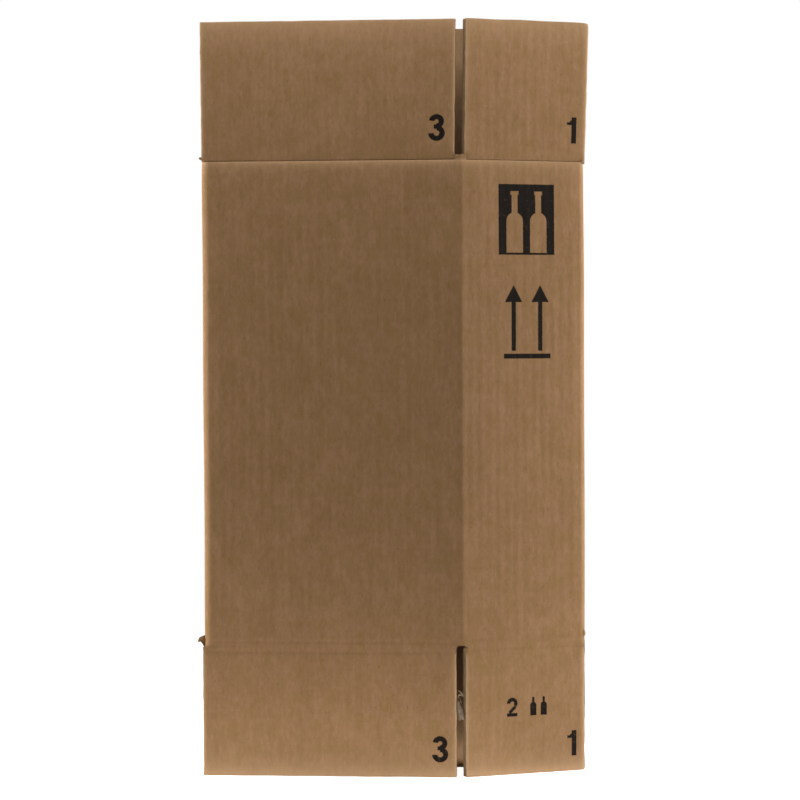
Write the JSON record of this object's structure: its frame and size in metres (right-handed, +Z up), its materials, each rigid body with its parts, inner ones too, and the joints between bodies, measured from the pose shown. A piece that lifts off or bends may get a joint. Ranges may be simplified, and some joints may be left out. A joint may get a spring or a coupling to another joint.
{
  "type": "shipping carton",
  "caption": "Tall narrow bottle shipping carton of brown double-wall board, empty, part folded flat, standing on end with its top flaps up and bottom flaps down.",
  "frame": {"origin": "on the floor, under the middle of the plan", "axes": "+Z up along the flutes, -Y towards the front wide panel's outer face, +X along that panel towards the right narrow panel"},
  "size_m": [0.3002, 0.0554, 0.59],
  "materials": {
    "kraft_board": "matte"
  },
  "bodies": {
    "tube": {"carton_body": "kraft_board"},
    "top_front": {"top_flap_front": "kraft_board"},
    "top_left": {"top_flap_left": "kraft_board"},
    "top_back": {"top_flap_back": "kraft_board"},
    "top_right": {"top_flap_right": "kraft_board"},
    "bottom_front": {"bottom_flap_front": "kraft_board"},
    "bottom_left": {"bottom_flap_left": "kraft_board"},
    "bottom_back": {"bottom_flap_back": "kraft_board"},
    "bottom_right": {"bottom_flap_right": "kraft_board"}
  },
  "joints": [
    {"name": "top_front_score", "type": "hinge", "parent": "tube", "child": "top_front", "pos_m": [-0.04975, -0.02771, 0.481], "axis": [1, 0, 0], "range_deg": [0, 175]},
    {"name": "top_left_score", "type": "hinge", "parent": "tube", "child": "top_left", "pos_m": [-0.10617, 0.00145, 0.481], "axis": [-0.9257, -0.3782, 0], "range_deg": [0, 175]},
    {"name": "top_back_score", "type": "hinge", "parent": "tube", "child": "top_back", "pos_m": [0.04672, 0.02771, 0.481], "axis": [-1, 0, 0], "range_deg": [0, 175]},
    {"name": "top_right_score", "type": "hinge", "parent": "tube", "child": "top_right", "pos_m": [0.10412, -0.00464, 0.481], "axis": [0.9063, 0.4226, 0], "range_deg": [0, 175]},
    {"name": "bottom_front_score", "type": "hinge", "parent": "tube", "child": "bottom_front", "pos_m": [-0.04975, -0.02771, 0.101], "axis": [-1, 0, 0], "range_deg": [0, 175]},
    {"name": "bottom_left_score", "type": "hinge", "parent": "tube", "child": "bottom_left", "pos_m": [-0.10617, 0.00145, 0.101], "axis": [0.9257, 0.3782, 0], "range_deg": [0, 175]},
    {"name": "bottom_back_score", "type": "hinge", "parent": "tube", "child": "bottom_back", "pos_m": [0.04672, 0.02771, 0.101], "axis": [1, 0, 0], "range_deg": [0, 175]},
    {"name": "bottom_right_score", "type": "hinge", "parent": "tube", "child": "bottom_right", "pos_m": [0.10412, -0.00464, 0.101], "axis": [-0.9063, -0.4226, 0], "range_deg": [0, 175]}
  ]
}
